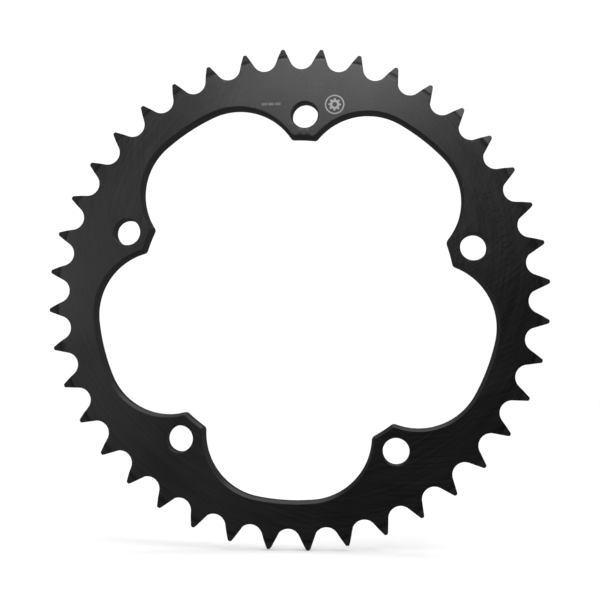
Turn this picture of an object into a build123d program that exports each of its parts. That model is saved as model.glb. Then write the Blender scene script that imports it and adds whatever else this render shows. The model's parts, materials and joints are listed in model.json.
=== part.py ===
from build123d import *
import math
import os

# A 40-tooth rear sprocket for 525 chain: one flat plate, with all sizes in millimetres.
# Its axle line is Y through the origin, which is at half the plate's thickness. The marked
# face looks along -Y, and one of the five bolt holes is straight above the axle, on +Z.

# Chain and teeth
CHAIN_PITCH = 15.875
ROLLER_D = 10.16
TEETH = 40
SEAT_PER_ROLLER = 0.505     # radius of a roller's seat, as a share of the roller's diameter
TIP_R = 105.1
FLANK_ANGLE = 22.3          # degrees between a tooth's flank and its centreline
TIP_ROUND = 0.72            # rounding where a flank meets the tip
TIP_BEVEL_H = 3.8           # height, from the tip down, of the bevel turned on each face
TIP_BEVEL_W = 1.6           # how much of the thickness that bevel takes at the tip
TOOTH_PHASE = 1.48          # degrees, anticlockwise, from the upper bolt hole to a tooth gap

# Plate, its opening and its five lugs
THICKNESS = 7.0
RIM_R = 84.8                # the opening's radius midway between two lugs
LUGS = 5
LUG_END_R = 66.6            # the lugs' ends, which sit round the carrier's register
LUG_CORNER_R = 2.0
HOLLOW_R = 26.7             # radius of the hollow on each side of a lug
HOLLOW_ARC = 16.0           # degrees that the rim runs on at RIM_R between two hollows
OPENING_CHAMFER = 1.2

# Bolt holes
BOLT_CIRCLE_D = 153.0
BOLT_HOLE_D = 11.0
HOLE_CHAMFER = 0.4

# Worked out from the sizes above
tooth_step = 360 / TEETH
pitch_r = CHAIN_PITCH / 2 / math.sin(math.radians(tooth_step / 2))
seat_r = SEAT_PER_ROLLER * ROLLER_D
lug_step = 360 / LUGS
hollow_centre_r = RIM_R - HOLLOW_R
pocket_start = 90 + lug_step / 2 - HOLLOW_ARC / 2
half_thickness = THICKNESS / 2

# One gap between two teeth, at the top of the pitch circle. Each flank leaves the roller's
# seat as a tangent, leaning out from the gap's centreline, and runs on past the tips.
flank_lean = math.radians(FLANK_ANGLE + tooth_step / 2)
seat_end_x = seat_r * math.cos(flank_lean)
seat_end_y = pitch_r - seat_r * math.sin(flank_lean)
gap_top = TIP_R + 1
gap_top_x = seat_end_x + (gap_top - seat_end_y) * math.tan(flank_lean)

with BuildSketch() as tooth_gap:
    with BuildLine():
        ThreePointArc((-seat_end_x, seat_end_y), (0, pitch_r - seat_r), (seat_end_x, seat_end_y))
        Polyline(
            (seat_end_x, seat_end_y), (gap_top_x, gap_top),
            (-gap_top_x, gap_top), (-seat_end_x, seat_end_y),
        )
    make_face()

# The opening: a bore as large as the lugs' ends allow, and five round-ended pockets that
# reach out to the rim and leave the lugs between them.
with BuildLine() as pocket_path:
    CenterArc((0, 0), hollow_centre_r, pocket_start, HOLLOW_ARC)

with BuildSketch() as opening:
    Circle(LUG_END_R)
    with PolarLocations(0, LUGS):
        SlotArc(pocket_path.edge(), height=2 * HOLLOW_R)
    lug_corners = opening.vertices().filter_by(lambda v: abs(Vector(v).length - LUG_END_R) < 0.01)
    fillet(lug_corners, radius=LUG_CORNER_R)

with BuildPart() as sprocket_ring:
    # The plate, cut through to its full outline.
    with BuildSketch(Plane.XZ) as outline:
        Circle(TIP_R)
        with PolarLocations(0, TEETH, start_angle=TOOTH_PHASE):
            add(tooth_gap.sketch, mode=Mode.SUBTRACT)
        fillet(outline.vertices().group_by(SortBy.DISTANCE)[-1], radius=TIP_ROUND)
        add(opening.sketch, mode=Mode.SUBTRACT)
    extrude(amount=half_thickness, both=True)

    # The opening's edges, on both faces.
    for face in sprocket_ring.faces().filter_by(Axis.Y):
        chamfer(face.inner_wires()[0].edges(), length=OPENING_CHAMFER)

    # The bolt holes, with their edges broken on both faces.
    with Locations(Plane.XZ.offset(half_thickness)):
        with PolarLocations(BOLT_CIRCLE_D / 2, LUGS, start_angle=90):
            Hole(radius=BOLT_HOLE_D / 2)
    hole_edges = sprocket_ring.edges(Select.LAST).filter_by(GeomType.CIRCLE)
    chamfer(hole_edges, length=HOLE_CHAMFER)

    # The bevels that let the chain's side plates ride over the teeth.
    with BuildSketch(Plane.XY) as bevel_section:
        for side in (-1, 1):
            with BuildLine():
                Polyline(
                    (TIP_R - TIP_BEVEL_H, side * half_thickness),
                    (TIP_R + TIP_BEVEL_H, side * half_thickness),
                    (TIP_R + TIP_BEVEL_H, side * (half_thickness - 2 * TIP_BEVEL_W)),
                    close=True,
                )
            make_face()
    revolve(axis=Axis.Y, mode=Mode.SUBTRACT)

sprocket_ring.part.label = "sprocket_ring"

os.makedirs("parts", exist_ok=True)
export_step(sprocket_ring.part, "parts/sprocket_ring.step")
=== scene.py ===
"""A motorcycle's rear sprocket: one machined, black anodised plate on a plain white studio floor.

The plate is drawn in the part's frame, in metres. Its axle line is Y, its marked face looks along -Y, and a
bolt hole stands straight above the axle. In the plate's plane a point is a complex number, x + i z, and each
closed path is followed with the metal on its left.
"""

import cmath
import json
import math

import bpy
import numpy as np
from bpy.props import FloatProperty, FloatVectorProperty, IntProperty, PointerProperty
from mathutils import Matrix, Vector
from mathutils.geometry import delaunay_2d_cdt


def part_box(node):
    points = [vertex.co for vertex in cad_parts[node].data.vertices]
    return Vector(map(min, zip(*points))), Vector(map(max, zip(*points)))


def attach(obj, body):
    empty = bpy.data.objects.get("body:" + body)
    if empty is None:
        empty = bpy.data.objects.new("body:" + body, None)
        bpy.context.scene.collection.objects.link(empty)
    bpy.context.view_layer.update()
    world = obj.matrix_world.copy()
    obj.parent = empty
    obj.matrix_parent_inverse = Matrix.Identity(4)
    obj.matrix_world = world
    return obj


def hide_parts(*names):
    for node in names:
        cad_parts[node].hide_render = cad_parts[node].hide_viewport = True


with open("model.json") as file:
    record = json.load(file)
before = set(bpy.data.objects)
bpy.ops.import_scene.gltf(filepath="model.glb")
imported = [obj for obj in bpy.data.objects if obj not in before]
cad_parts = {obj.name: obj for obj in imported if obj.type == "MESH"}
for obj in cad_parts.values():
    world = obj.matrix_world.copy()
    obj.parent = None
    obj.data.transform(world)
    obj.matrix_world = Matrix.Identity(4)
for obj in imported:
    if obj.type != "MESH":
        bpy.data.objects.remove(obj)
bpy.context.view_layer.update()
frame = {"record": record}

bl_info = {
    "name": "Rear Sprocket",
    "version": (1, 0, 0),
    "blender": (4, 5, 0),
    "location": "View3D > Sidebar > Sprocket",
    "description": "Builds a machined rear sprocket and a plain studio round it",
    "category": "Add Mesh",
}

PLATE_NODE = "sprocket_ring"
PLATE_NAME = "sprocket_plate"
MM = 0.001
QUARTER = math.pi / 2
UP = 1j
SHARP_TURN = math.radians(22)   # an edge that turns by more than this is shaded as sharp

mounts = {mount["name"]: mount for mount in frame["record"]["mounts"]}
bolt_dims = mounts["carrier_bolts"]["dims"]
chain_dims = mounts["chain_teeth"]["dims"]
register_dims = mounts["carrier_register"]["dims"]
plate_low, plate_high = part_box(PLATE_NODE)


# ---------------------------------------------------------------------------------------------------
# Sizes and colours that a user would change
# ---------------------------------------------------------------------------------------------------

def length(name, description, default):
    """A length property, in metres."""
    return FloatProperty(name=name, description=description, default=default, unit="LENGTH", precision=5)


def angle(name, description, degrees):
    """An angle property, kept in radians and given here in degrees."""
    return FloatProperty(name=name, description=description, default=math.radians(degrees), subtype="ANGLE")


def colour(name, description, default):
    """A linear colour property."""
    return FloatVectorProperty(name=name, description=description, default=default, subtype="COLOR",
                               size=3, min=0.0, max=1.0)


def factor(name, description, default, top=1.0):
    """A plain number from 0 to top."""
    return FloatProperty(name=name, description=description, default=default, min=0.0, max=top)


class SPROCKET_PG_plate(bpy.types.PropertyGroup):
    """Sizes of the plate, its teeth, its lugs and its edges."""

    thickness: length("Thickness", "Thickness of the plate", plate_high.y - plate_low.y)
    teeth: IntProperty(name="Teeth", description="Number of teeth", default=chain_dims["count"], min=8)
    pitch_radius: length("Pitch radius", "Radius of the circle of the roller centres",
                         chain_dims["pcd_mm"] / 2 * MM)
    seat_radius: length("Seat radius", "Radius of the seat that holds a roller", 5.1308 * MM)
    tip_radius: length("Tip radius", "Radius of the circle of the tooth tips", 105.1 * MM)
    tip_round: length("Tip rounding", "Rounding where a flank meets the tip", 0.72 * MM)
    flank_angle: angle("Flank angle", "Angle between a flank and the tooth's centreline", 22.3)
    tooth_phase: angle("Tooth phase", "Turn of the teeth from the upper bolt hole", 1.48)
    bevel_height: length("Bevel height", "Height of the bevel turned on the teeth", 3.8 * MM)
    bevel_depth: length("Bevel depth", "Thickness that the bevel takes at the tips", 1.6 * MM)

    lugs: IntProperty(name="Lugs", description="Number of bolt lugs", default=bolt_dims["count"], min=2)
    rim_radius: length("Rim radius", "Radius of the opening between two lugs", 84.8 * MM)
    lug_end_radius: length("Lug end radius", "Radius of the circle that the lugs end on",
                           register_dims["r_mm"] * MM)
    hollow_radius: length("Hollow radius", "Radius of the hollow side of a lug", 26.7 * MM)
    rim_arc: angle("Rim arc", "Arc of plain rim between two hollows", 16.0)
    lug_corner: length("Lug corner", "Rounding of the corners of a lug", 2.0 * MM)
    opening_chamfer: length("Opening chamfer", "Chamfer round the opening", 1.2 * MM)

    bolt_circle: length("Bolt circle radius", "Radius of the circle of the bolt holes",
                        bolt_dims["pcd_mm"] / 2 * MM)
    bolt_hole: length("Bolt hole radius", "Radius of a bolt hole", bolt_dims["hole_r_mm"] * MM)
    hole_chamfer: length("Hole chamfer", "Chamfer at a bolt hole", 0.4 * MM)

    tooth_ease: length("Tooth edge rounding", "Rounding of the edges round the teeth", 0.18 * MM)
    chamfer_ease: length("Chamfer rounding", "Rounding at both edges of a chamfer", 0.1 * MM)
    facing_spacing: length("Facing spacing", "Spacing of the points inside a flat face", 3.2 * MM)


# ---------------------------------------------------------------------------------------------------
# Paths in the plate's plane
# ---------------------------------------------------------------------------------------------------

def arc(centre, radius, start, end, steps, metal):
    """Part of a circle: centre + radius e^(i a), for steps angles a from start up to but not including end.
    Beside the points go unit vectors into the metal: e^(i a) times metal, 1 outside the circle, -1 inside."""
    turn = np.exp(1j * np.linspace(start, end, steps, endpoint=False))
    return centre + radius * turn, metal * turn


def straight(start, along, distances, metal):
    """Part of a straight line: start + along times each distance, with one vector into the metal."""
    return start + along * np.asarray(distances), np.full(len(distances), metal)


def joined(*pieces):
    """Pieces of a path, end to end, as points and as vectors into the metal."""
    return tuple(np.concatenate(parts) for parts in zip(*pieces))


def turned_round(path, count, offset):
    """The path repeated count times round the axle: z e^(i (offset + 2 pi k / count)) for k from 0."""
    turns = np.exp(1j * (offset + 2 * math.pi * np.arange(count) / count))
    return tuple(np.multiply.outer(turns, values).ravel() for values in path)


def reversed_path(path):
    """The same path, followed the other way."""
    return tuple(values[::-1] for values in path)


def reach(start, along, radius):
    """How far a straight line from start, along a unit vector, runs to a circle about the axle: the positive
    root t of |start + t along| = radius."""
    lean = (start * along.conjugate()).real
    return math.sqrt(lean ** 2 - abs(start) ** 2 + radius ** 2) - lean


def tooth_path(size):
    """Outline of all the teeth. Half a gap is a roller's seat, a straight flank that leaves it as a tangent,
    the rounding of the tip and half of the tip's land. The other half mirrors it, and the gap is repeated."""
    half_step = math.pi / size.teeth
    lean = size.flank_angle + half_step
    into = cmath.exp(-1j * lean)
    along = into * 1j
    roller = UP * size.pitch_radius
    seat_end = roller + size.seat_radius * into
    round_line = seat_end + size.tip_round * into
    flank_length = reach(round_line, along, size.tip_radius - size.tip_round)
    round_centre = round_line + flank_length * along
    bevel_radius = size.tip_radius - size.bevel_height
    bevel_at = reach(seat_end + size.tooth_ease * into, along, bevel_radius)
    flank = np.concatenate([np.linspace(0, bevel_at, 3), np.linspace(bevel_at, flank_length, 4)[1:-1]])
    land_start = cmath.phase(round_centre)
    land_end = QUARTER - half_step
    points, metal = joined(
        arc(roller, size.seat_radius, -QUARTER, -lean, 12, 1),
        straight(seat_end, along, flank, into),
        arc(round_centre, size.tip_round, math.pi - lean, land_start, 6, -1),
        arc(0, size.tip_radius, land_start, land_end, 1, -1),
        arc(0, size.tip_radius, land_end, land_start, 1, -1),
    )
    gap = (np.concatenate([points[::-1], -points[1:-1].conj()]),
           np.concatenate([metal[::-1], -metal[1:-1].conj()]))
    return turned_round(gap, size.teeth, size.tooth_phase)


def opening_path(size):
    """Outline of the opening. Half a lobe is half a lug's end, the lug's rounded corner, the hollow side of
    the lug and half of the rim between two lugs, all arcs that meet as tangents. Its mirror image follows."""
    half_sector = math.pi / size.lugs
    hollow_turn = QUARTER + half_sector - size.rim_arc / 2
    hollow_centre_radius = size.rim_radius - size.hollow_radius
    hollow = hollow_centre_radius * cmath.exp(1j * hollow_turn)
    corner_radius = size.lug_end_radius + size.lug_corner
    between = size.hollow_radius + size.lug_corner
    cosine = (hollow_centre_radius ** 2 + corner_radius ** 2 - between ** 2)
    corner_turn = hollow_turn - math.acos(cosine / (2 * hollow_centre_radius * corner_radius))
    corner = corner_radius * cmath.exp(1j * corner_turn)
    middle = QUARTER + half_sector
    hollow_start = cmath.phase(corner - hollow)
    points, metal = joined(
        arc(0, size.lug_end_radius, QUARTER, corner_turn, 8, 1),
        arc(corner, size.lug_corner, corner_turn + math.pi, hollow_start + math.pi, 10, -1),
        arc(hollow, size.hollow_radius, hollow_start, hollow_turn, 48, 1),
        arc(0, size.rim_radius, hollow_turn, middle, 14, 1),
        arc(0, size.rim_radius, middle, hollow_turn, 1, 1),
    )
    mirror = cmath.exp(2j * middle)
    lobe = (np.concatenate([points, mirror * points[-2:0:-1].conj()]),
            np.concatenate([metal, mirror * metal[-2:0:-1].conj()]))
    return reversed_path(turned_round(lobe, size.lugs, 0))


def circle_path(centre, radius, steps, metal=1):
    """A whole circle, followed clockwise round a hole and anticlockwise round an island (metal = -1)."""
    return arc(centre, radius, 0, -metal * 2 * math.pi, steps, metal)


# ---------------------------------------------------------------------------------------------------
# Sections across an edge: how far into the metal, and how far below the face
# ---------------------------------------------------------------------------------------------------

def eased_section(ease, steps=5):
    """Quarter circle from the face to the wall: inset = ease (1 - sin a), drop = ease (1 - cos a)."""
    a = np.linspace(0, QUARTER, steps + 1)
    return ease * (1 - np.sin(a)), ease * (1 - np.cos(a))


def chamfered_section(width, ease, steps=3):
    """A 45 degree chamfer whose two edges are arcs of radius ease. Each arc starts ease tan(22.5 degrees)
    outside the chamfer: inset = far - ease sin a, drop = ease (1 - cos a), then the same the other way."""
    far = width + ease * math.tan(QUARTER / 4)
    a = np.linspace(0, QUARTER / 2, steps + 1)
    return (np.concatenate([far - ease * np.sin(a), ease * (1 - np.cos(a[::-1]))]),
            np.concatenate([ease * (1 - np.cos(a)), far - ease * np.sin(a[::-1])]))


# ---------------------------------------------------------------------------------------------------
# Meshes
# ---------------------------------------------------------------------------------------------------

def in_plane(points, height):
    """Plane points in the part's frame at a height above the plate's middle, towards the marked face."""
    return np.stack([points.real, -height * np.ones(points.shape), points.imag], axis=-1)


def inside_loops(points, loops):
    """Which points an odd number of the loops surround, by counting crossings of a ray to the right."""
    odd = np.zeros(len(points), bool)
    for loop in loops:
        a, b = loop, np.roll(loop, -1)
        z = points[:, None]
        spans = (a.imag > z.imag) != (b.imag > z.imag)
        rise = np.where(b.imag == a.imag, 1, b.imag - a.imag)
        cross = a.real + (z.imag - a.imag) * (b.real - a.real) / rise
        odd ^= (np.sum(spans & (z.real < cross), axis=1) % 2).astype(bool)
    return odd


def facing_points(loops, spacing, outer):
    """Points of a triangular grid, where they lie on the face and clear of every loop's points."""
    count = int(outer / spacing) + 1
    row, column = np.meshgrid(np.arange(-count, count + 1), np.arange(-count, count + 1), indexing="ij")
    grid = ((column + row % 2 / 2) * spacing + 1j * row * spacing * math.sqrt(0.75)).ravel()
    grid = grid[inside_loops(grid, loops)]
    edge = np.concatenate(loops)
    nearest = np.min(np.abs(grid[:, None] - edge[None, :]), axis=1)
    return grid[nearest > spacing * 0.45]


def fill(loops, inner):
    """Triangles between closed loops, with the inner points among their corners: the constrained Delaunay
    triangles that an odd number of loops surround. Corners are numbered through the loops, then the inner."""
    points = np.concatenate([*loops, inner]) / MM
    ends = np.cumsum([len(loop) for loop in loops])
    rings = []
    for loop, end in zip(loops, ends):
        ring = list(range(end - len(loop), end))
        area = np.sum((loop.conj() * np.roll(loop, -1)).imag)
        rings.append(ring if area > 0 else ring[::-1])
    corners = np.stack([points.real, points.imag], axis=-1).tolist()
    _, _, faces, sources, _, owners = delaunay_2d_cdt(corners, [], rings, 0, 1e-6)
    if len(sources) != len(points):
        raise RuntimeError("two loops of a face touch or cross")
    source = np.array([s[0] for s in sources])
    return source[np.array([f for f, o in zip(faces, owners) if len(o) % 2])]


class Shell:
    """Points and faces of one closed surface, gathered block by block."""

    def __init__(self):
        self.blocks, self.faces, self.slots, self.count = [], [], [], 0

    def add(self, points):
        """Adds a block of points and gives their numbers, in the block's own rows and columns."""
        numbers = np.arange(self.count, self.count + points[..., 0].size).reshape(points.shape[:-1])
        self.blocks.append(points.reshape(-1, 3))
        self.count += numbers.size
        return numbers

    def cover(self, faces, slot=0):
        """Adds faces, one row of point numbers each, with a material slot."""
        self.faces.append(faces)
        self.slots.append(np.full(len(faces), slot))

    def band(self, numbers):
        """Joins each row of a closed path's points to the next row with quads."""
        upper, lower = numbers[:-1], numbers[1:]
        quads = np.stack([upper, lower, np.roll(lower, -1, axis=1), np.roll(upper, -1, axis=1)], axis=-1)
        self.cover(quads.reshape(-1, 4))

    def mesh(self, name):
        """The Blender mesh, smooth but for edges that turn by more than the threshold."""
        mesh = bpy.data.meshes.new(name)
        faces = [face for group in self.faces for face in group.tolist()]
        mesh.from_pydata(np.concatenate(self.blocks).tolist(), [], faces)
        mesh.polygons.foreach_set("material_index", np.concatenate(self.slots).astype(np.int32))
        mesh.polygons.foreach_set("use_smooth", np.ones(len(faces), bool))
        mesh.set_sharp_from_angle(angle=SHARP_TURN)
        mesh.validate()
        return mesh


def face_height(size, radius):
    """Height of the face above the plate's middle: half the thickness, less the bevel's straight slope past
    the radius where it starts."""
    past = np.clip(radius - (size.tip_radius - size.bevel_height), 0, None)
    return size.thickness / 2 - past * size.bevel_depth / size.bevel_height


def edge_block(size, path, section):
    """The profile carried along a closed path, from the marked face over the edge, down the wall and over the
    back's edge: point + inset times the vector into the metal, at the face's height there less drop."""
    points, metal = path
    inset, drop = section
    plane = points + np.multiply.outer(inset, metal)
    height = face_height(size, np.abs(plane)) - drop[:, None]
    return np.concatenate([in_plane(plane, height), in_plane(plane, -height)[::-1]])


def tooth_tops(numbers, on_face, flip):
    """Quads across the bevel of each tooth, from the face's edge up to the tip: the k-th point past the edge
    on one flank joins the k-th on the other."""
    start = np.flatnonzero(on_face & ~np.roll(on_face, -1))
    width = int(np.flatnonzero(np.roll(on_face, -start[0] - 1))[0]) + 2
    run = numbers[(start[:, None] + np.arange(width)) % len(numbers)]
    half = width // 2
    right, left = run[:, :half], run[:, ::-1][:, :half]
    quads = np.stack([right[:, :-1], right[:, 1:], left[:, 1:], left[:, :-1]], axis=-1).reshape(-1, 4)
    tips = np.stack([right[:, -1], run[:, half], left[:, -1]], axis=-1)
    return (quads[:, ::-1], tips[:, ::-1]) if flip else (quads, tips)


def plate_shell(size, marks):
    """The whole plate: edge bands round the teeth, the opening and the holes, and the two faces between."""
    shell = Shell()
    teeth = tooth_path(size)
    chamfer = chamfered_section(size.opening_chamfer, size.chamfer_ease)
    hole_edge = chamfered_section(size.hole_chamfer, size.chamfer_ease)
    bolt_centres = size.bolt_circle * UP * np.exp(2j * math.pi * np.arange(size.lugs) / size.lugs)
    edges = [(teeth, eased_section(size.tooth_ease)), (opening_path(size), chamfer)]
    edges += [(circle_path(centre, size.bolt_hole, 72), hole_edge) for centre in bolt_centres]
    grids = []
    for path, section in edges:
        grids.append(shell.add(edge_block(size, path, section)))
        shell.band(grids[-1])

    outer = teeth[0] + eased_section(size.tooth_ease)[0][0] * teeth[1]
    on_face = np.abs(outer) < size.tip_radius - size.bevel_height + 1e-6
    for row, flip in ((0, False), (-1, True)):
        for faces in tooth_tops(grids[0][row], on_face, flip):
            shell.cover(faces)

    loops = [outer[on_face]]
    loops += [path[0] + section[0][0] * path[1] for path, section in edges[1:]]
    for row, side, cuts in ((0, 1, marks), (-1, -1, [])):
        numbers = [grids[0][row][on_face]] + [grid[row] for grid in grids[1:]]
        face_loops = list(loops)
        for depth, slot, paths in cuts:
            cut_mark(shell, size, depth, slot, paths, numbers, face_loops)
        inner = facing_points(face_loops, size.facing_spacing, size.tip_radius)
        numbers.append(shell.add(in_plane(inner, side * size.thickness / 2)))
        triangles = np.concatenate(numbers)[fill(face_loops, inner)]
        shell.cover(triangles[:, ::side])
    return shell


def cut_mark(shell, size, depth, slot, paths, numbers, face_loops):
    """Sinks one mark into the marked face: a wall that slopes in by a third of the depth, round each of the
    mark's paths, and a floor between them."""
    draft = depth / 3
    floor_numbers, floor_loops = [], []
    for points, metal in paths:
        low = points - draft * metal
        block = np.stack([in_plane(points, size.thickness / 2), in_plane(low, size.thickness / 2 - depth)])
        grid = shell.add(block)
        shell.band(grid)
        numbers.append(grid[0])
        face_loops.append(points)
        floor_numbers.append(grid[1])
        floor_loops.append(low)
    triangles = np.concatenate(floor_numbers)[fill(floor_loops, np.zeros(0, complex))]
    shell.cover(triangles, slot)


# ---------------------------------------------------------------------------------------------------
# Marks on the face: plain index signs, with no lettering
# ---------------------------------------------------------------------------------------------------

def bar_path(centre, direction, half_length, half_width, steps=8, metal=1):
    """A bar with round ends: half a circle about centre + half_length times the direction, and half a circle
    about the other end. It is followed clockwise round a cut, anticlockwise round an island (metal = -1)."""
    turn = cmath.phase(direction)
    offset = half_length * direction
    path = joined(arc(centre + offset, half_width, turn + QUARTER, turn - QUARTER, steps, 1),
                  arc(centre - offset, half_width, turn - QUARTER, turn - 3 * QUARTER, steps, 1))
    return path if metal == 1 else (path[0][::-1], -path[1][::-1])


def cog_path(centre, radius, wave, count, steps):
    """A small cog: radius + wave tanh(3 cos(count a)), followed clockwise with the metal outside."""
    a = -np.linspace(0, 2 * math.pi, steps, endpoint=False)
    turn = np.exp(1j * a)
    return centre + (radius + wave * np.tanh(3 * np.cos(count * a))) * turn, turn


class SPROCKET_PG_marks(bpy.types.PropertyGroup):
    """Places and sizes of the marks on the face."""

    tilt: angle("Tilt", "Turn of the etched marks against the upper bolt hole", 3.08)
    sign_radius: length("Sign radius", "Radius of the arc that the stamped signs stand on", 89.4 * MM)
    sign_start: angle("Sign start", "Angle of the first stamped sign, anticlockwise from +X", 30.2)
    sign_end: angle("Sign end", "Angle of the last stamped sign", 11.6)
    sign_height: length("Sign height", "Height of a stamped sign", 4.8 * MM)
    sign_width: length("Sign width", "Width of a stamped ring", 2.6 * MM)
    sign_stroke: length("Sign stroke", "Width of a stamped line", 0.56 * MM)
    sign_depth: length("Sign depth", "Depth of the stamped signs", 0.16 * MM)
    etch_depth: length("Etch depth", "Depth of the etched marks", 0.02 * MM)
    badge_x: length("Badge across", "Place of the etched badge, across the plate", 12.4 * MM)
    badge_z: length("Badge up", "Place of the etched badge, above the axle", 81.3 * MM)
    badge_radius: length("Badge radius", "Radius of the etched badge", 4.1 * MM)
    ticks_x: length("Ticks across", "Place of the row of etched ticks, across the plate", -14.5 * MM)
    ticks_z: length("Ticks up", "Place of the row of etched ticks, above the axle", 80.6 * MM)
    ticks_length: length("Ticks length", "Length of the row of ticks", 7.6 * MM)
    tick_height: length("Tick height", "Height of an etched tick", 1.1 * MM)


def stamped_signs(marks):
    """Rings, bars and dots in a row along an arc, each standing on the arc like a figure on a dial."""
    signs = ("ring", "bar", "bar", "ring", "dot", "bar", "ring", "bar", "ring")
    half_stroke = marks.sign_stroke / 2
    half_height = marks.sign_height / 2
    half_width = marks.sign_width / 2
    cuts = []
    for turn, sign in zip(np.linspace(marks.sign_start, marks.sign_end, len(signs)), signs):
        outward = cmath.exp(1j * turn)
        centre = marks.sign_radius * outward
        if sign == "ring":
            core = half_height - half_width
            paths = [bar_path(centre, outward, core, half_width, 14),
                     bar_path(centre, outward, core, half_width - marks.sign_stroke, 12, metal=-1)]
        elif sign == "bar":
            paths = [bar_path(centre, outward, half_height - half_stroke, half_stroke)]
        else:
            paths = [circle_path(centre, 1.4 * half_stroke, 20)]
        cuts.append((marks.sign_depth, 0, paths))
    return cuts


def etched_badge(marks):
    """A thin ring round a small ring-shaped cog."""
    centre = complex(marks.badge_x, marks.badge_z)
    radius = marks.badge_radius
    ring = [circle_path(centre, radius, 72), circle_path(centre, 0.87 * radius, 64, metal=-1)]
    cog = [cog_path(centre, 0.56 * radius, 0.09 * radius, 8, 128),
           circle_path(centre, 0.24 * radius, 32, metal=-1)]
    return [(marks.etch_depth, 1, ring), (marks.etch_depth, 1, cog)]


def etched_ticks(marks):
    """A row of short upright ticks, evenly spaced, with every seventh one left out."""
    count = 20
    upright = UP * cmath.exp(1j * marks.tilt)
    centre = complex(marks.ticks_x, marks.ticks_z)
    offsets = np.linspace(-0.5, 0.5, count) * marks.ticks_length
    half_width = marks.ticks_length / count / 4
    half_length = marks.tick_height / 2 - half_width
    centres = centre - 1j * upright * offsets
    return [(marks.etch_depth, 1, [bar_path(place, upright, half_length, half_width, 4)])
            for number, place in enumerate(centres.tolist()) if number % 7 != 6]


# ---------------------------------------------------------------------------------------------------
# Materials
# ---------------------------------------------------------------------------------------------------

class SPROCKET_PG_finish(bpy.types.PropertyGroup):
    """Colours and strengths of the anodised finish and of the etched marks."""

    black: colour("Anodised black", "Darkest colour of the anodised skin", (0.022, 0.022, 0.023))
    worn: colour("Thin anodising", "Colour where the anodised skin is thin", (0.060, 0.060, 0.062))
    etched: colour("Etched metal", "Colour of the etched marks", (0.36, 0.36, 0.365))
    roughness: factor("Roughness", "Roughness of the anodised skin", 0.30)
    line_depth: factor("Line depth", "How strongly the machining lines catch the light", 0.3)


def add_node(tree, kind, inputs=(), **settings):
    """Adds a node. The settings are its properties. The inputs are (socket, value) pairs, where a value that
    is an output socket is linked."""
    node = tree.nodes.new(kind)
    for name, value in settings.items():
        setattr(node, name, value)
    for socket, value in inputs:
        if isinstance(value, bpy.types.NodeSocket):
            tree.links.new(value, node.inputs[socket])
        else:
            node.inputs[socket].default_value = value
    return node


def calculate(tree, operation, *values):
    """A Math node's result."""
    return add_node(tree, "ShaderNodeMath", enumerate(values), operation=operation).outputs[0]


def ranged(tree, value, low, high, to_low, to_high, **settings):
    """A value carried from one range to another, and held inside it."""
    inputs = (("Value", value), ("From Min", low), ("From Max", high), ("To Min", to_low),
              ("To Max", to_high))
    return add_node(tree, "ShaderNodeMapRange", inputs, **settings).outputs[0]


def smooth(tree, *values):
    """A value carried from one range to another with a soft start and a soft end."""
    return ranged(tree, *values, interpolation_type="SMOOTHSTEP")


def noise(tree, vector, scale, detail, rough=0.5):
    """A noise texture's value."""
    inputs = (("Vector", vector), ("Scale", scale), ("Detail", detail), ("Roughness", rough))
    return add_node(tree, "ShaderNodeTexNoise", inputs).outputs[0]


def new_group(name, inputs, outputs):
    """An empty shader node group with named sockets: (name, type) or (name, type, default) for each input."""
    group = bpy.data.node_groups.new(name, "ShaderNodeTree")
    for socket_name, socket_type, *default in inputs:
        socket = group.interface.new_socket(socket_name, in_out="INPUT", socket_type=socket_type)
        if default:
            socket.default_value = default[0]
    for socket_name, socket_type in outputs:
        group.interface.new_socket(socket_name, in_out="OUTPUT", socket_type=socket_type)
    return group, group.nodes.new("NodeGroupInput").outputs, group.nodes.new("NodeGroupOutput").inputs


def facing_lines_group():
    """Lines that a facing cutter leaves: noise that is fine across the circles about a centre and long round
    them, from the radius and the turn of a point about that centre."""
    group, given, result = new_group(
        "facing_lines",
        [("Vector", "NodeSocketVector"), ("Centre", "NodeSocketVector"),
         ("Across", "NodeSocketFloat", 900.0), ("Round", "NodeSocketFloat", 2.2)],
        [("Lines", "NodeSocketFloat")])
    offset = add_node(group, "ShaderNodeVectorMath", ((0, given["Vector"]), (1, given["Centre"])),
                      operation="SUBTRACT").outputs[0]
    part = add_node(group, "ShaderNodeSeparateXYZ", ((0, offset),)).outputs
    radius = calculate(group, "SQRT", calculate(group, "ADD", calculate(group, "POWER", part["X"], 2.0),
                                                calculate(group, "POWER", part["Z"], 2.0)))
    turn = calculate(group, "ARCTAN2", part["Z"], part["X"])
    across = calculate(group, "MULTIPLY", radius, given["Across"])
    rounds = calculate(group, "MULTIPLY", turn, given["Round"])
    polar = add_node(group, "ShaderNodeCombineXYZ", ((0, across), (1, rounds), (2, 0.0))).outputs[0]
    group.links.new(noise(group, polar, 1.0, 4.0, 0.6), result["Lines"])
    return group


def mottling_group():
    """Slow cloudy change and fine grain of an anodised skin."""
    group, given, result = new_group(
        "anodised_mottling",
        [("Vector", "NodeSocketVector"), ("Cloud Scale", "NodeSocketFloat", 25.0),
         ("Grain Scale", "NodeSocketFloat", 2500.0)],
        [("Cloud", "NodeSocketFloat"), ("Grain", "NodeSocketFloat")])
    group.links.new(noise(group, given["Vector"], given["Cloud Scale"], 3.0), result["Cloud"])
    group.links.new(noise(group, given["Vector"], given["Grain Scale"], 2.0), result["Grain"])
    return group


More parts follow.
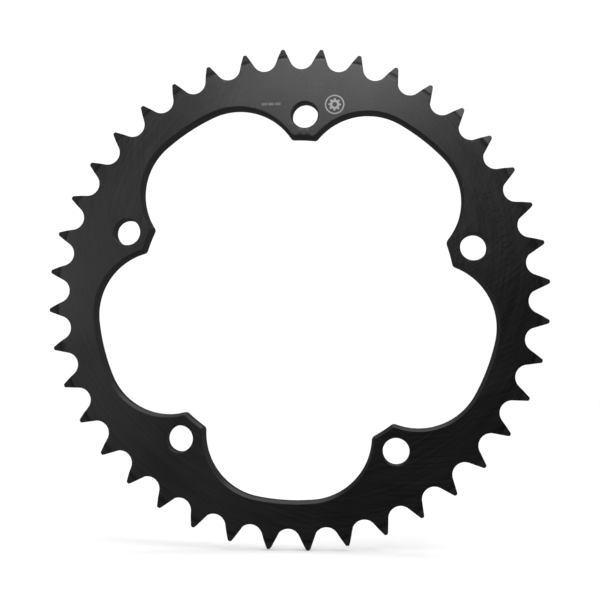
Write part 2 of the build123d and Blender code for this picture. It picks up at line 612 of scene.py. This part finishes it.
def feed_lines_group():
    """Lines that a milling cutter leaves on a wall: noise that is fine through the thickness and long along
    the outline."""
    group, given, result = new_group(
        "feed_lines",
        [("Vector", "NodeSocketVector"), ("Through", "NodeSocketFloat", 4000.0),
         ("Along", "NodeSocketFloat", 60.0)],
        [("Lines", "NodeSocketFloat")])
    stretch = add_node(group, "ShaderNodeCombineXYZ",
                       ((0, given["Along"]), (1, given["Through"]), (2, given["Along"]))).outputs[0]
    stretched = add_node(group, "ShaderNodeVectorMath", ((0, given["Vector"]), (1, stretch)),
                         operation="MULTIPLY").outputs[0]
    group.links.new(noise(group, stretched, 1.0, 2.0), result["Lines"])
    return group


def place_group(tree, group, inputs):
    """A group placed in a tree, with its own values."""
    return add_node(tree, "ShaderNodeGroup", inputs, node_tree=group).outputs


def mix_value(tree, share, low, high):
    """low where the share is 0, high where it is 1."""
    return add_node(tree, "ShaderNodeMix", ((0, share), (2, low), (3, high)), data_type="FLOAT").outputs[0]


def new_material(name):
    """A material with an empty tree, its Principled BSDF and the object's coordinates."""
    material = bpy.data.materials.new(name)
    material.use_nodes = True
    tree = material.node_tree
    tree.nodes.clear()
    shader = tree.nodes.new("ShaderNodeBsdfPrincipled")
    output = tree.nodes.new("ShaderNodeOutputMaterial")
    tree.links.new(shader.outputs[0], output.inputs[0])
    coordinates = tree.nodes.new("ShaderNodeTexCoord").outputs["Object"]
    return material, tree, shader, coordinates


def anodised_material(finish):
    """Black anodising over machined metal: crossing facing arcs on the flat faces and feed lines on the walls
    show in its colour, its roughness and its relief."""
    material, tree, shader, coordinates = new_material("black_anodised")
    facing, mottling, feed = facing_lines_group(), mottling_group(), feed_lines_group()
    first_centre = (6 * MM, 0.0, 20 * MM)
    second_centre = (45 * MM, 0.0, 60 * MM)
    first = place_group(tree, facing, (("Vector", coordinates), ("Centre", first_centre)))["Lines"]
    second = place_group(tree, facing, (("Vector", coordinates), ("Centre", second_centre),
                                        ("Across", 1300.0), ("Round", 3.0)))["Lines"]
    walls = place_group(tree, feed, (("Vector", coordinates),))["Lines"]
    skin = place_group(tree, mottling, (("Vector", coordinates),))

    normal = tree.nodes.new("ShaderNodeNewGeometry").outputs["Normal"]
    across = calculate(tree, "ABSOLUTE", add_node(tree, "ShaderNodeSeparateXYZ", ((0, normal),)).outputs["Y"])
    flat = ranged(tree, across, 0.85, 0.97, 0.0, 1.0)
    crossing = calculate(tree, "MULTIPLY", calculate(tree, "ADD", first, second), 0.5)
    lines = mix_value(tree, flat, walls, crossing)

    shade = calculate(tree, "ADD", calculate(tree, "MULTIPLY", lines, 0.6),
                      calculate(tree, "MULTIPLY", skin["Cloud"], 0.4))
    share = ranged(tree, shade, 0.36, 0.64, 0.0, 0.8)
    mixed = add_node(tree, "ShaderNodeMix", ((0, share), (6, (*finish.black, 1.0)), (7, (*finish.worn, 1.0))),
                     data_type="RGBA").outputs[2]
    tree.links.new(mixed, shader.inputs["Base Color"])
    rough = ranged(tree, lines, 0.3, 0.7, finish.roughness - 0.05, finish.roughness + 0.05)
    tree.links.new(rough, shader.inputs["Roughness"])
    relief = calculate(tree, "ADD", lines, calculate(tree, "MULTIPLY", skin["Grain"], 0.25))
    bump = add_node(tree, "ShaderNodeBump", (("Strength", finish.line_depth), ("Distance", 0.02 * MM),
                                             ("Height", relief)))
    tree.links.new(bump.outputs[0], shader.inputs["Normal"])
    shader.inputs["Metallic"].default_value = 0.7
    shader.inputs["IOR"].default_value = 1.6
    return material


def etched_material(finish):
    """Metal laid bare and frosted by etching."""
    material, tree, shader, coordinates = new_material("etched_metal")
    frost = noise(tree, coordinates, 6000.0, 3.0)
    dim = tuple(0.8 * c for c in finish.etched)
    mixed = add_node(tree, "ShaderNodeMix", ((0, frost), (6, (*dim, 1.0)), (7, (*finish.etched, 1.0))),
                     data_type="RGBA").outputs[2]
    tree.links.new(mixed, shader.inputs["Base Color"])
    tree.links.new(ranged(tree, frost, 0.3, 0.7, 0.32, 0.45), shader.inputs["Roughness"])
    shader.inputs["Metallic"].default_value = 1.0
    bump = add_node(tree, "ShaderNodeBump", (("Strength", 0.3), ("Distance", 0.01 * MM), ("Height", frost)))
    tree.links.new(bump.outputs[0], shader.inputs["Normal"])
    return material


# ---------------------------------------------------------------------------------------------------
# Studio
# ---------------------------------------------------------------------------------------------------

class SPROCKET_PG_studio(bpy.types.PropertyGroup):
    """The floor, the lights and the camera."""

    lean: angle("Lean", "Turn of the floor about the axle line", 3.08)
    azimuth: angle("Azimuth", "Direction of the camera, to the right of straight ahead", 5.43)
    elevation: angle("Elevation", "Height of the camera as an angle", -3.95)
    roll: angle("Roll", "Turn of the camera about its own axis", 3.09)
    distance: length("Distance", "From the camera to the plate's centre", 491.0 * MM)
    lens: FloatProperty(name="Lens", description="Focal length of the camera, in millimetres", default=70.25)
    shift_x: FloatProperty(name="Shift across", description="Sideways shift of the camera", default=0.0072)
    shift_y: FloatProperty(name="Shift up", description="Upward shift of the camera", default=-0.0061)
    floor_size: length("Floor size", "Half the width of the floor", 4.0)
    floor_glow: factor("Floor glow", "Light that the floor gives off by itself", 0.4)
    sky_power: factor("Sky power", "Strength of the soft light straight above", 1.2, 10.0)
    sky_width: angle("Sky width", "How wide the soft light above looks from the plate", 70)
    clearance: length("Clearance", "Gap between the lowest tooth and the floor", 0.05 * MM)


def floor_mesh(studio, lowest):
    """The floor: a point for each pair of distances s across and t along, at s times the level direction, t
    times the axle's direction and the lowest tooth's depth times the direction down."""
    steps = np.sinh(np.linspace(-3, 3, 25)) / math.sinh(3) * studio.floor_size
    level = np.array([math.cos(studio.lean), 0, math.sin(studio.lean)])
    down = np.array([math.sin(studio.lean), 0, -math.cos(studio.lean)])
    axle = np.array([0, 1, 0])
    points = (steps[:, None, None] * level + steps[None, :, None] * axle + lowest * down).reshape(-1, 3)
    index = np.arange(len(steps) ** 2).reshape(len(steps), -1)
    quads = np.stack([index[:-1, :-1], index[1:, :-1], index[1:, 1:], index[:-1, 1:]], axis=-1).reshape(-1, 4)
    mesh = bpy.data.meshes.new("studio_floor")
    mesh.from_pydata(points.tolist(), [], quads.tolist())
    return mesh


def floor_material(studio):
    """Plain white floor, partly lit from below like a light table. The rest of its light is the studio's."""
    material, tree, shader, coordinates = new_material("white_floor")
    tone = ranged(tree, noise(tree, coordinates, 40.0, 2.0), 0.3, 0.7, 0.98, 1.0)
    tree.links.new(tone, shader.inputs["Emission Color"])
    shader.inputs["Emission Strength"].default_value = studio.floor_glow
    shader.inputs["Base Color"].default_value = (0.8, 0.8, 0.8, 1.0)
    shader.inputs["Roughness"].default_value = 0.9
    shader.inputs["Specular IOR Level"].default_value = 0.0
    return material


def studio_world():
    """Light from all round: a dim band beside the plate, a little brighter overhead, with none straight in
    front of the marked face and little straight behind it. The camera itself sees a white background."""
    world = bpy.data.worlds.new("studio_world")
    world.use_nodes = True
    tree = world.node_tree
    tree.nodes.clear()
    direction = tree.nodes.new("ShaderNodeTexCoord").outputs["Generated"]
    part = add_node(tree, "ShaderNodeSeparateXYZ", ((0, direction),)).outputs
    front = smooth(tree, part["Y"], -0.84, -0.54, 0.0, 1.0)
    back = smooth(tree, part["Y"], 0.80, 0.96, 1.0, 0.12)
    overhead = ranged(tree, part["Z"], -1.0, 1.0, 0.34, 0.44)
    glow = calculate(tree, "MULTIPLY", calculate(tree, "MULTIPLY", front, back), overhead)
    seen = tree.nodes.new("ShaderNodeLightPath").outputs["Is Camera Ray"]
    strength = mix_value(tree, seen, glow, 1.05)
    background = add_node(tree, "ShaderNodeBackground",
                          (("Color", (1.0, 1.0, 1.0, 1.0)), ("Strength", strength)))
    output = tree.nodes.new("ShaderNodeOutputWorld")
    tree.links.new(background.outputs[0], output.inputs[0])
    return world


def soft_box(name, off_axis, turn, distance, size, power):
    """A square area light that faces the plate's centre, off_axis degrees away from straight ahead of the
    marked face and turn degrees round from +X."""
    tilt, turn = math.radians(off_axis), math.radians(turn)
    light = bpy.data.lights.new(name, "AREA")
    light.shape = "SQUARE"
    light.size = size
    light.energy = power
    lamp = bpy.data.objects.new(name, light)
    lamp.location = distance * Vector((math.sin(tilt) * math.cos(turn), -math.cos(tilt),
                                       math.sin(tilt) * math.sin(turn)))
    lamp.rotation_euler = lamp.location.to_track_quat("Z", "Y").to_euler()
    lamp.visible_camera = False
    bpy.context.scene.collection.objects.link(lamp)


def sky_light(studio):
    """A very wide, even light straight above, which gives the plate its soft shadow on the floor."""
    light = bpy.data.lights.new("sky_light", "SUN")
    light.energy = studio.sky_power
    light.angle = studio.sky_width
    lamp = bpy.data.objects.new("sky_light", light)
    lamp.visible_camera = False
    bpy.context.scene.collection.objects.link(lamp)


# name, degrees off the axle, degrees round from +X, distance and width in metres, watts
SOFT_BOXES = (
    ("key_box", 24, 98, 1.5, 0.35, 3.2),
    ("side_box", 23, 170, 1.5, 0.35, 0.75),
    ("low_box", 20, 230, 1.5, 0.35, 0.2),
    ("tooth_box", 57, 60, 1.5, 0.6, 3.5),
)


# ---------------------------------------------------------------------------------------------------
# Operators
# ---------------------------------------------------------------------------------------------------

def show(name, mesh, materials):
    """Links a mesh into the scene as an object at the origin, with its materials."""
    for material in materials:
        mesh.materials.append(material)
    piece = bpy.data.objects.new(name, mesh)
    bpy.context.scene.collection.objects.link(piece)
    return piece


class SPROCKET_OT_plate(bpy.types.Operator):
    """Build the machined plate with its marks"""

    bl_idname = "sprocket.plate"
    bl_label = "Build plate"

    def execute(self, context):
        settings = context.scene
        marks = settings.sprocket_marks
        cuts = stamped_signs(marks) + etched_badge(marks) + etched_ticks(marks)
        shell = plate_shell(settings.sprocket_plate, cuts)
        finish = settings.sprocket_finish
        plate = show(PLATE_NAME, shell.mesh(PLATE_NAME), [anodised_material(finish), etched_material(finish)])
        weighted = plate.modifiers.new("face_weighted_normals", "WEIGHTED_NORMAL")
        weighted.keep_sharp = True
        weighted.weight = 100
        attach(plate, "root")
        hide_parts(PLATE_NODE)
        return {"FINISHED"}


class SPROCKET_OT_studio(bpy.types.Operator):
    """Set up the floor, the lights and the camera"""

    bl_idname = "sprocket.studio"
    bl_label = "Set up studio"

    def execute(self, context):
        scene = context.scene
        studio = scene.sprocket_studio
        outline = tooth_path(scene.sprocket_plate)[0]
        down = -UP * cmath.exp(1j * studio.lean)
        lowest = float(np.max((outline * down.conjugate()).real)) + studio.clearance
        floor = show("studio_floor", floor_mesh(studio, lowest), [floor_material(studio)])
        floor.visible_glossy = False
        floor.visible_diffuse = False
        scene.world = studio_world()
        scene.view_settings.view_transform = "Standard"
        for box in SOFT_BOXES:
            soft_box(*box)
        sky_light(studio)

        camera_data = bpy.data.cameras.new("studio_camera")
        camera_data.lens = studio.lens
        camera_data.shift_x = studio.shift_x
        camera_data.shift_y = studio.shift_y
        camera = bpy.data.objects.new("studio_camera", camera_data)
        towards = Vector((math.sin(studio.azimuth) * math.cos(studio.elevation),
                          -math.cos(studio.azimuth) * math.cos(studio.elevation),
                          math.sin(studio.elevation)))
        upright = towards.to_track_quat("Z", "Y").to_matrix()
        camera.matrix_world = (Matrix.Translation(towards * studio.distance)
                               @ (upright @ Matrix.Rotation(studio.roll, 3, "Z")).to_4x4())
        scene.collection.objects.link(camera)
        scene.camera = camera
        return {"FINISHED"}


class SPROCKET_PT_panel(bpy.types.Panel):
    """Lists what the sprocket is built from"""

    bl_idname = "SPROCKET_PT_panel"
    bl_label = "Rear sprocket"
    bl_space_type = "VIEW_3D"
    bl_region_type = "UI"
    bl_category = "Sprocket"

    def draw(self, context):
        layout = self.layout
        for title, group in SETTINGS.items():
            box = layout.box()
            box.label(text=title.replace("sprocket_", "").capitalize())
            for name in group.__annotations__:
                box.prop(getattr(context.scene, title), name)
        for operator in OPERATORS:
            layout.operator(operator.bl_idname)


SETTINGS = {
    "sprocket_plate": SPROCKET_PG_plate,
    "sprocket_marks": SPROCKET_PG_marks,
    "sprocket_finish": SPROCKET_PG_finish,
    "sprocket_studio": SPROCKET_PG_studio,
}
OPERATORS = (SPROCKET_OT_plate, SPROCKET_OT_studio)
CLASSES = (*SETTINGS.values(), *OPERATORS, SPROCKET_PT_panel)


def register():
    for cls in CLASSES:
        bpy.utils.register_class(cls)
    for name, group in SETTINGS.items():
        setattr(bpy.types.Scene, name, PointerProperty(type=group))


def unregister():
    for name in SETTINGS:
        delattr(bpy.types.Scene, name)
    for cls in reversed(CLASSES):
        bpy.utils.unregister_class(cls)


def main():
    """Builds the sprocket and its studio."""
    register()
    bpy.ops.sprocket.plate()
    bpy.ops.sprocket.studio()


if __name__ == "__main__":
    main()
